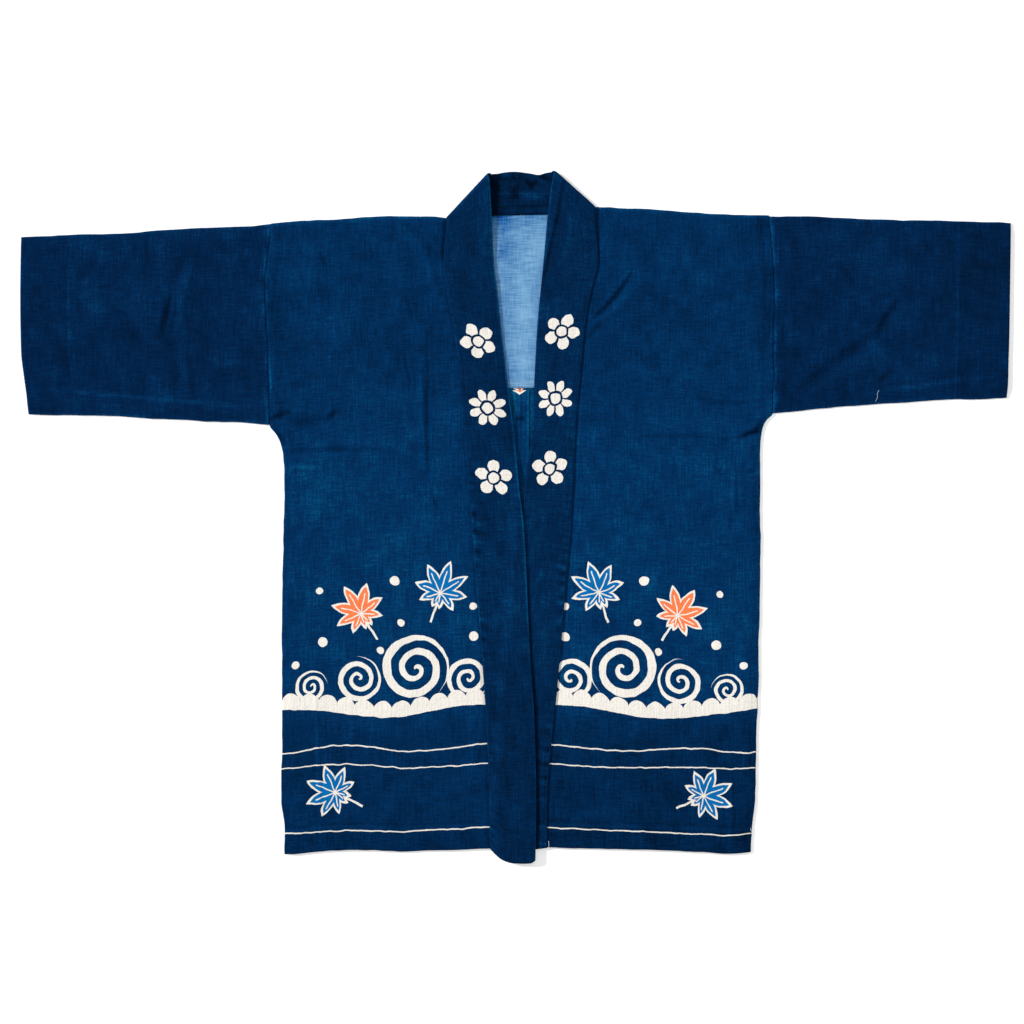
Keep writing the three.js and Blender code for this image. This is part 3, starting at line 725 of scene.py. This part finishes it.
# ---- sleeves: a flat tube, folded along the top and sewn below
sleeve = {"layer": 92, "turn": 7, "rows": 112, "cuffTurn": {"right": 60.0, "left": 65.0}}
sleeveCreases = {
    "right": [
        (-467, 776, -467, 728, 2.4, -1.3, 0, -0.55), (-436, 696, -447, 644, 3.2, -2.4, -2, -0.9),
        (-412, 752, -438, 690, 6, -0.9, -4, -0.15), (-441, 652, -430, 556, 7, -1.2, 4, -0.3),
        (-404, 745, -426, 640, 8, 1.2, -6, 0.2), (-420, 640, -416, 558, 6, 0.9, -1, 0.18),
        (-529, 750, -557, 712, 7, -1.1, 5, -0.34), (-541, 686, -512, 671, 8, 0.8, 0, 0.3),
        (-555, 692, -549, 670, 2.6, -0.9, 0, -0.4), (-530, 706, -511, 701, 2.8, -1, 1, -0.4),
        (-612, 716, -600, 688, 5, -0.8, 2, -0.3), (-606, 682, -590, 676, 3, -0.8, 0, -0.25),
        (-617, 579, -322, 553, 2.4, 0.6, 0, 0.4), (-500, 690, -470, 560, 12, -0.8, 5, -0.12),
        (-335, 760, -330, 590, 6, 0.8, 3, 0.14), (-390, 760, -350, 742, 5, -0.8, 3, -0.2),
        (-590, 660, -560, 590, 8, -0.7, 3, -0.16), (-375, 606, -338, 612, 2.6, 0.6, 1, 0.35),
        (-520, 640, -495, 600, 9, 0.8, -3, 0.16)],
    "left": [
        (344, 571, 456, 651, 6.5, -1.3, 3, -0.28), (352, 560, 462, 634, 9, 1, 4, 0.14),
        (444, 640, 476, 694, 4.2, -1.3, 2, -0.4), (446, 584, 466, 602, 3, -0.9, 0, -0.3),
        (424, 571, 606, 596, 2.4, 0.6, 0, 0.42), (430, 770, 500, 690, 11, 0.8, 5, 0.1),
        (336, 770, 340, 610, 6, 0.8, -3, 0.14), (530, 690, 575, 640, 10, 0.7, 4, 0.1),
        (392, 742, 420, 700, 4, -1, 3, -0.3), (500, 770, 520, 740, 5, -0.8, 2, -0.2),
        (350, 700, 392, 690, 8, -0.8, 3, -0.16), (560, 740, 600, 720, 5, -0.7, 2, -0.2)]}


def sleeveShape(side, u, w):
    way = sides[side]
    edges = sleeveEdges[side]
    layer, turnSteps = sleeve["layer"], sleeve["turn"]
    k = u * 2 * (layer + turnSteps)
    onTop = (k >= layer + turnSteps) & (k <= 2 * layer + turnSteps)
    fraction = np.where(onTop, 1 - (k - layer - turnSteps) / layer, np.minimum(k / layer, 1))
    fraction = np.where(k > 2 * layer + turnSteps, 0, fraction)
    topTurn = np.clip((k - layer) / turnSteps, 0, 1) * (k < layer + turnSteps)
    lowTurn = np.clip((k - 2 * layer - turnSteps) / turnSteps, 0, 1)
    armY = lerp(edges["bottom"][0], edges["top"][0], fraction)
    seamD = outline(bodySide, side, armY) + 0.25
    d = lerp(seamD, outline(cuffs, side, fraction), w)
    low = outline(edges, "bottom", d) + cloth["bulge"]
    high = outline(edges, "top", d) - cloth["bulge"]
    y = lerp(low, high, fraction)
    x = way * d
    radius = cloth["bulge"] - cloth["thick"] / 2
    sideGap = np.minimum(y - low, high - y)
    cuffGap = outline(cuffs, side, fraction) - d
    creases = sleeveCreases[side]
    held = 7 * (d - seamD < sideGap)
    z, worn = upperLayer(x, y, np.minimum(sideGap, d - seamD), creases, 41 if way < 0 else 53, held)
    fromTurn = cuffGap - sleeve["cuffTurn"][side]
    z += 0.4 * (1 - ease(fromTurn / 3)) * ease(sideGap / 8)
    z -= 0.35 * bell((fromTurn - 2.5) / 2.2) * ease(sideGap / 8)
    gathers = 0.35 * puckers(y, d - seamD, 10, 13) * ease((d - seamD) / 2)
    gathers = gathers + 0.22 * puckers(y + 5, np.abs(fromTurn), 8, 15)
    gathers = (gathers + 0.16 * puckers(y, cuffGap, 7, 17)) * ease(sideGap / 6)
    z = np.maximum(z + gathers, cloth["aboveBack"])
    # Painted light on the gathers' ridges and painted shade in their hollows; a paler line at the cuff's
    # turn.
    worn += 0.45 * gathers + 0.16 * bell(fromTurn / 1.8)
    worn = worn - 0.16 * (1 - ease((fromTurn + 3) / 4)) - (0.04 if way < 0 else 0.12)
    worn += 0.1 * softNoise(x, y, 34, 26, 107) + 0.06 * softNoise(x, y, 14, 20, 109)
    worn += 0.38 * bell(cuffGap / 1.6) + 0.28 * bell(sideGap / 1.6)
    wave = np.clip(0.3 + softNoise(x, y, 50, 70, 61), 0, 1) * ease(np.minimum(sideGap, cuffGap) / 12)
    z = np.where(onTop, z, cloth["under"] + 0.5 * wave * ease((d - seamD) / 12))
    inTopTurn = (topTurn > 0) & ~onTop
    z = np.where(inTopTurn, cloth["bulge"] - radius * np.cos(math.pi * topTurn), z)
    y = np.where(inTopTurn, high + radius * np.sin(math.pi * topTurn), y)
    z = np.where(lowTurn > 0, cloth["bulge"] + radius * np.cos(math.pi * lowTurn), z)
    y = np.where(lowTurn > 0, low - radius * np.sin(math.pi * lowTurn), y)
    frayed = 0.24 + 0.5 * softNoise(x, y, 5, 16, 103)
    worn += frayed * bell((d - seamD) / 7) - 0.14 * bell((d - seamD - 13) / 4)
    # The stitched line of the cuff is rubbed as the seam is.
    edge = np.minimum(np.minimum(d - seamD, np.abs(fromTurn) + 2.6), noSeam)
    along = np.where(onTop | (lowTurn > 0), y, 2 * high - y)
    return x, y, z, x, along, worn, edge


# ---- collar: one doubled band, from the right hem round the neck and down to the left hem
collar = {
    "width": 60, "thick": 3.0, "level": 4.75, "over": 3.5, "ramp": 12.0, "crossing": 560,
    "neckSeam": 2.6, "neckFree": 1.75,  # middle of the part that lies behind the neck
    "foldSeam": 5.9, "foldFree": {"right": 10.0, "left": 7.4},  # and of a front part at its diagonal fold
    "columns": 84, "spacing": 3.0}
bandFolds = {
    "right": {"seam": (-94.5, 791.5), "free": (-43.5, 844.5), "behind": (-37, 846.5)},
    "left": {"seam": (94, 805.5), "free": (43.5, 850.3), "behind": (38, 849)}}
neckLine = {  # behind the neck, from the right fold to the left one
    "seamX": [-62, -38, -15, 15, 38, 62],
    "seamY": [791.9, 794.4, 795.2, 796.2, 797.0, 799.4],
    "freeX": [-30, -21, -9, 10, 22, 31],
    "freeY": [846.8, 848.4, 849.4, 847.4, 845.4, 847.8]}
bandHeights = [0, 50, 100, 170, 250, 330, 400, 460, 530, 600, 665, 700, 735]
neckCreases = [
    (20, 847, 39, 838, 2.6, -1, -1, -0.8), (-12, 849, -6, 836, 2, -0.7, 0, -0.5),
    (-2, 849, 1, 840, 1.8, -0.6, 0, -0.4), (-30, 841, -8, 836, 3, -0.5, 1, -0.3),
    (-38, 832, -24, 826, 4, -0.5, 0, -0.4), (8, 818, 34, 814, 2.6, 0.4, 1, 0.25),
    (-30, 803, 30, 806, 2.4, -0.4, 1, -0.25), (6, 840, 12, 826, 2.6, -0.9, 2, -0.7),
    (12, 826, 22, 839, 2.6, -0.8, 2, -0.6), (-14, 825, -1, 815, 4, -0.6, 1, -0.5),
    (-26, 843, -14, 845, 3, 0.4, 0, 0.3), (24, 828, 33, 822, 4, 0.5, 0, 0.25)]


# The sections that the band is drawn through: seam edge, free edge, and the way its outer face looks.
def bandSections():
    half = collar["thick"] / 2

    def frontPart(side):
        seams = sides[side] * readCurve(bandEdges, side + "Seam", bandHeights)
        frees = readCurve(bandEdges, side + "Free", bandHeights)
        return [((seam, h, collar["level"]), (free, h, collar["level"]), (0, 0, 1))
                for h, seam, free in zip(bandHeights, seams, frees)]

    def turnPart(side):
        seam = Vector(bandFolds[side]["seam"])
        free = Vector(bandFolds[side]["free"])
        along = (free - seam).normalized()
        inwards = Vector((along.y, -along.x)) * -sides[side]
        rows = []
        for corner, top, bottom in (
                (seam, collar["foldSeam"], collar["neckSeam"]),
                (free, collar["foldFree"][side], collar["neckFree"])):
            radius = (top - bottom) / 2
            centre = corner + inwards * (radius + half)
            behind = Vector(bandFolds[side]["behind"]) - centre if corner == free else Vector((0, 0))
            ring = []
            for turn in (90, 60, 30, 0, -30, -60, -90):
                a = math.radians(turn)
                face = Vector((-inwards.x * math.cos(a), -inwards.y * math.cos(a), math.sin(a)))
                on = centre + behind * (0.5 - 0.5 * math.sin(a))
                ring.append((Vector((on.x, on.y, (top + bottom) / 2)) + face * radius, face))
            rows.append(ring)
        return [(a[0], b[0], a[1]) for a, b in zip(*rows)]

    sections = frontPart("right") + turnPart("right")
    sections += [((sx, sy, collar["neckSeam"]), (fx, fy, collar["neckFree"]), (0, 0, -1))
                 for sx, sy, fx, fy in zip(*neckLine.values())]
    sections += turnPart("left")[::-1] + frontPart("left")[::-1]
    return [tuple(np.array(part, float) for part in section) for section in sections]


# Rows along the band: even in the long parts, and closer in the tight turns at the folds.
def bandRows(sections):
    middle = [(a + b) / 2 for a, b, _ in sections]
    free = [b for _, b, _ in sections]
    reach = [0.0]
    places = [0.0]
    for i in range(1, len(sections)):
        step = max(np.linalg.norm(middle[i] - middle[i - 1]), 1.5)
        tight = np.dot(sections[i][2], sections[i - 1][2]) < 0.95
        longer = max(step, np.linalg.norm(free[i] - free[i - 1]))
        count = 3 if tight else max(2, math.ceil(longer / collar["spacing"]))
        places += [reach[-1] + step * (j + 1) / count for j in range(count)]
        reach.append(reach[-1] + step)
    return np.array(reach), np.array(places)


bandParts = bandSections()
bandReach, bandPlaces = bandRows(bandParts)
bandKnots = {"s": bandReach}
for i, part in enumerate(("seam", "free", "face")):
    for j, axis in enumerate("xyz"):
        bandKnots[part + axis] = [section[i][j] for section in bandParts]


def collarShape(u, w):
    length = bandPlaces[-1]
    s = bandPlaces[np.round(w * (len(bandPlaces) - 1)).astype(int)]
    at = {key: readCurve(bandKnots, key, s) for key in bandKnots if key != "s"}
    face = np.stack([at["facex"], at["facey"], at["facez"]], -1)
    face /= np.linalg.norm(face, axis=-1, keepdims=True)
    turn = 2 * math.pi * u
    across = 0.5 - 0.5 * np.cos(turn)
    outerFace = u <= 0.5
    rounded = np.sqrt(np.clip(1 - np.abs(2 * across - 1) ** 26, 0, 1))
    out = np.where(outerFace, rounded, -rounded)
    x, y, z = [lerp(at["seam" + c], at["free" + c], across) for c in "xyz"]
    h = y.copy()
    onFront = face[:, 2] > 0.9
    isRight = s < length / 2
    low = np.clip(1 - h / 100, 0, 1) * onFront
    y += low * np.where(isRight, *(readCurve(bandEnds, side, across) for side in sides))
    # The right band climbs over the left one below the point where they cross.
    otherEdge = readCurve(bandEdges, "leftFree", h)
    start = np.maximum(otherEdge - 5.5 - collar["ramp"], at["seamx"] + 1)
    climb = ease((x - start) / np.minimum(collar["ramp"], np.maximum(otherEdge - 4 - start, 6)))
    z = z + collar["over"] * climb * (isRight & onFront) * ease((collar["crossing"] - h) / 60)
    fromSeam = across * collar["width"]
    fromFree = (1 - across) * collar["width"]
    noise = partial(softNoise, fromSeam, s)
    # Low down, its free edge stands off the left band.
    z = z + 0.6 * ease((270 - h) / 90) * bell(fromFree / 11) * (isRight & onFront)
    gathers = 0.75 * puckers(s, fromSeam, 11) + 0.9 * puckers(s + 9, fromSeam, 14, 21, 19.0)
    gathers = gathers * ease(fromSeam / 3) * (1 - 0.45 * ease((h - 500) / 60))
    relief = gathers + 0.18 * puckers(s + 4, fromFree, 7)
    relief += 0.22 * noise(12, 60, 71) + 0.16 * noise(6, 26, 73)
    lowerFront = onFront * ease((330 - h) / 120)
    relief = relief + lowerFront * 0.1 * noise(4.5, 70, 75)
    # The right band thins towards its free edge.
    thin = 1.2 * bell(fromFree / 8) * (isRight & onFront & (h < 700))
    shapeIn = np.where(outerFace, relief - 0.35 - thin, -0.1 * relief)
    middle = 0.16 * bell((h - 300) / 90) - 0.06
    # Painted light on the gathers' ridges and painted shade in their hollows, more so low down.
    worn = middle * onFront + 0.12 * noise(24, 60, 77) + (0.36 + 0.3 * ease((540 - h) / 60)) * gathers
    worn += 0.1 * noise(9, 12, 89) - 0.06 - 0.1 * lowerFront + 0.04 * lowerFront * noise(4, 60, 79)
    # Ridge along the back of the neck, and the turned strip along the left free edge near the fold.
    neck = face[:, 2] < -0.9
    ridge = bell((across - 0.5 - 0.02 * oneWayNoise(s, 20, 93)) / 0.026) * neck
    stripLine = 1 - np.interp(h, [695, 750, 800, 845], [0.0, 0.10, 0.22, 0.27])
    strip = (~isRight) & (h > 695) & (face[:, 2] > 0.2)
    groove = bell((across - stripLine) * collar["width"] / 2) * strip
    beyond = ease((across - stripLine) * collar["width"] / 2.5) * strip
    shapeIn = shapeIn - np.where(outerFace, 0.8 * groove - 0.45 * beyond, 0)
    shapeIn = shapeIn - np.where(~outerFace & neck, 0.35 * ridge, 0)
    # Painted shade in the groove and over the whole part behind the neck; the strip beyond the groove and
    # the ridge are paler.
    worn += np.where(outerFace, 0.16 * beyond - 0.5 * groove, 0) + 0.5 * ridge - 0.4 * neck
    # Painted shadow beside the right band's fold, on the part behind the neck.
    worn -= 0.8 * neck * bell((x + 34) / 9)
    rim = np.where(isRight, 0.5 * ease((h - 230) / 120) + 0.15, 0.2) * bell((fromFree - 0.8) / 1.1)
    seamRub = (0.08 + 0.27 * ease((460 - h) / 140)) * (0.75 + 0.5 * oneWayNoise(s, 14, 97))
    worn += np.where(outerFace, rim + seamRub * bell((fromSeam - 0.9) / 1.0), 0)
    # Painted shadow along the step down from the right band to the left one.
    step = x - readCurve(bandEdges, "rightFree", h)
    below = bell((step - 1.0) / 2.4) * ease((400 - h) / 200) * (~isRight & onFront & outerFace)
    worn -= 0.75 * below
    # Creases in the part behind the neck, their troughs darkened as painted shade and their ridges paler.
    lift, tone = addCreases(neckCreases, x, y)
    worn += np.where(neck, 1.3 * tone + 0.3 * softNoise(x, y, 13, 9, 91), 0)
    shapeIn = shapeIn - np.where(~outerFace & neck, lift, 0)
    # Flat at the two ends, where the band is closed.
    ends = np.minimum(s, length - s)
    shut = np.sqrt(np.clip(1 - (1 - np.clip(ends / 4, 0, 1)) ** 2, 0, 1))
    off = (out * collar["thick"] / 2 + shapeIn * rounded) * shut
    x, y, z = x + face[:, 0] * off, y + face[:, 1] * off, z + face[:, 2] * off
    z = np.maximum(z, 0.06)
    mapAcross = np.where(outerFace, fromSeam, 2 * collar["width"] - fromSeam)
    return x, y, z, mapAcross, s - length / 2, worn, noSeam


# ---- shoulder lining, inside the back
lining = {"columns": 116, "rows": 84, "half": 150.0, "hem": 580.0, "middle": 1.95, "turned": 12.0}
liningTop = {
    "x": [-150, -98, -87, -38, 0, 38, 87, 98, 150],
    "y": [768, 772, 787, 793.6, 794.6, 795.6, 799.5, 785, 782]}


def liningShape(u, w):
    x = lerp(-lining["half"], lining["half"], u)
    top = readCurve(liningTop, "y", x)
    low = lining["hem"] + 0.8 * oneWayNoise(x, 40, 81) - 1.5 * bell(x / 40)
    y = lerp(low, top, w)
    above = y - low
    z = lining["middle"] + 0.25 * (1 - ease((above - lining["turned"]) / 2))
    inNeck = ease((44 - np.abs(x)) / 12)
    billow = 0.35 + 0.45 * softNoise(x, y, 28, 60, 83) + 0.15 * softNoise(x, y, 10, 24, 85)
    z = z + inNeck * billow * ease((top - y) / 10) * ease(above / 6)
    # Darker along its top edge, as painted shade.
    worn = 0.5 * softNoise(x, y, 26, 60, 87) - 0.5 * bell((top - y) / 14)
    worn += 0.3 * bell((above - 5) / 3)
    return x, y, z, x, y, worn, noSeam


# ---- seam allowances pressed flat inside the armholes and down the centre back
allowance = {"half": 8.0, "backHalf": 10.5, "middle": 1.36}


def armholeShape(side, u, w):
    way = sides[side]
    edges = sleeveEdges[side]
    y = lerp(edges["bottom"][0] + 3, edges["top"][0] - 6, w)
    d = readCurve(bodySide, side, y) + lerp(-allowance["half"], allowance["half"], u)
    z = allowance["middle"] + 0.7 * ease((y - edges["bottom"][0] - 22) / 30)
    return way * d, y, z, d, y, 0, noSeam


def centreSeamShape(u, w):
    y = lerp(5.0, 576.0, w)
    x = lerp(-allowance["backHalf"], allowance["backHalf"], u)
    z = allowance["middle"] + 0.12 * bell((np.abs(x) - allowance["backHalf"]) / 1.5)
    worn = 0.12 + 0.5 * bell((np.abs(x) - 9.4) / 1.2) - 0.4 * bell(x / 1.2)
    worn = worn - 0.9 * bell((y - 541) / 2.6) * (x > -6) * (x < 5) + 0.2 * softNoise(x, y, 8, 20, 95)
    return x, y, z, x, y, worn, noSeam


def finishPiece(piece, material, node, thick=cloth["thick"]):
    piece.data.materials.append(material)
    if thick:
        wall = piece.modifiers.new("thickness", "SOLIDIFY")
        wall.thickness = thick / 1000
        wall.offset = 0
    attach(piece, "root")
    if node:
        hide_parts(node)


def layCloth(key, name, columns, rows, shape, material, thick=cloth["thick"], closed=False):
    pieces[key] = newPiece(name, columns, rows, shape, closed)
    finishPiece(pieces[key], material, None if "Allowance" in name else key, thick)


pieces = {}
for side in sides:
    layCloth("front_" + side, "front_" + side + "Cloth", front["columns"], front["rows"],
             partial(frontShape, side), bodyCotton)
    layCloth("back_" + side, "back_" + side + "Cloth", back["columns"], back["rows"],
             partial(backShape, side), bodyCotton)
    layCloth("sleeve_" + side, "sleeve_" + side + "Cloth", 2 * (sleeve["layer"] + sleeve["turn"]),
             sleeve["rows"], partial(sleeveShape, side), sleeveCotton, closed=True)
    layCloth("armhole_" + side, "armhole_" + side + "Allowance", 6, 60,
             partial(armholeShape, side), plainCotton, 0.5)
    print(side, "front, back, sleeve and armhole laid")

layCloth("collar", "collarBand", collar["columns"], len(bandPlaces) - 1, collarShape, collarCotton,
         0, closed=True)
layCloth("shoulder_lining", "shoulderLining", lining["columns"], lining["rows"], liningShape, sheeting,
         0.6)
layCloth("centreSeam", "centreBackAllowance", 14, 180, centreSeamShape, bodyCotton, 0.5)
print("collar and lining laid")


# ---- stitches and thread ends
stitches = {"length": 3.2, "pitch": 4.6, "radius": 0.28, "lift": 0.3}
looseEnds = {"radius": 0.36, "lift": 0.6}


def heightAt(piece, x, y):
    place = toFrame(np.array([x]), np.array([y]), np.array([60.0]))[0]
    hit, spot, _, _ = piece.ray_cast(Vector(place), Vector((0, 0, -1)))
    return spot if hit else None


def addBar(bm, a, b, radius):
    made = bmesh.ops.create_cone(
        bm, cap_ends=True, segments=6, radius1=radius, radius2=radius, depth=(b - a).length)["verts"]
    turn = (b - a).to_track_quat("Z", "Y").to_matrix().to_4x4()
    turn.translation = (a + b) / 2
    bmesh.ops.transform(bm, matrix=turn, verts=made)


# Thread on a piece, through points of the pattern, as short bars: a row of stitches, or a loose end.
def layThread(name, piece, lines, thread, material):
    bm = bmesh.new()
    lift = Vector((0, 0, thread["lift"] / 1000))
    for (x0, y0), (x1, y1) in (pair for points in lines for pair in zip(points, points[1:])):
        count, share = 1, 1
        if "pitch" in thread:
            count = max(1, round(math.hypot(x1 - x0, y1 - y0) / thread["pitch"]))
            share = thread["length"] / thread["pitch"] / count
        for i in range(count):
            a, b = (heightAt(piece, lerp(x0, x1, t), lerp(y0, y1, t))
                    for t in (i / count, i / count + share))
            if a is not None and b is not None:
                addBar(bm, a + lift, b + lift, thread["radius"] / 1000)
    made = meshObject(name, bm)
    finishPiece(made, material, None, 0)
    return made


bpy.context.view_layer.update()
liningStitches = layThread(
    "liningStitches", pieces["shoulder_lining"],
    [[(-140, y + 2), (-40, y + 1), (0, y), (40, y + 1), (140, y + 2)] for y in (581, 584)],
    stitches, paleThread)
layThread("threadEnds", pieces["front_left"],
          [[(34.4, 12.5), (34.9, 9), (34.6, 5.2)], [(287, 29), (288, 24.5)]],
          looseEnds, whiteThread)
layThread("sleeveThreadEnd", pieces["sleeve_left"],
          [[(447.5, 576), (445.4, 571.5), (445.8, 567), (443.2, 562)]],
          looseEnds, paleThread)
print("stitches sewn")

bm = bmesh.new()
bmesh.ops.create_grid(bm, x_segments=2, y_segments=2, size=6)
bmesh.ops.translate(bm, vec=(0, 0, cadLow.z - 0.0001), verts=bm.verts)
floor = meshObject("floor", bm)
floor.data.materials.append(newMaterial("paintedFloor", paintedFloor))
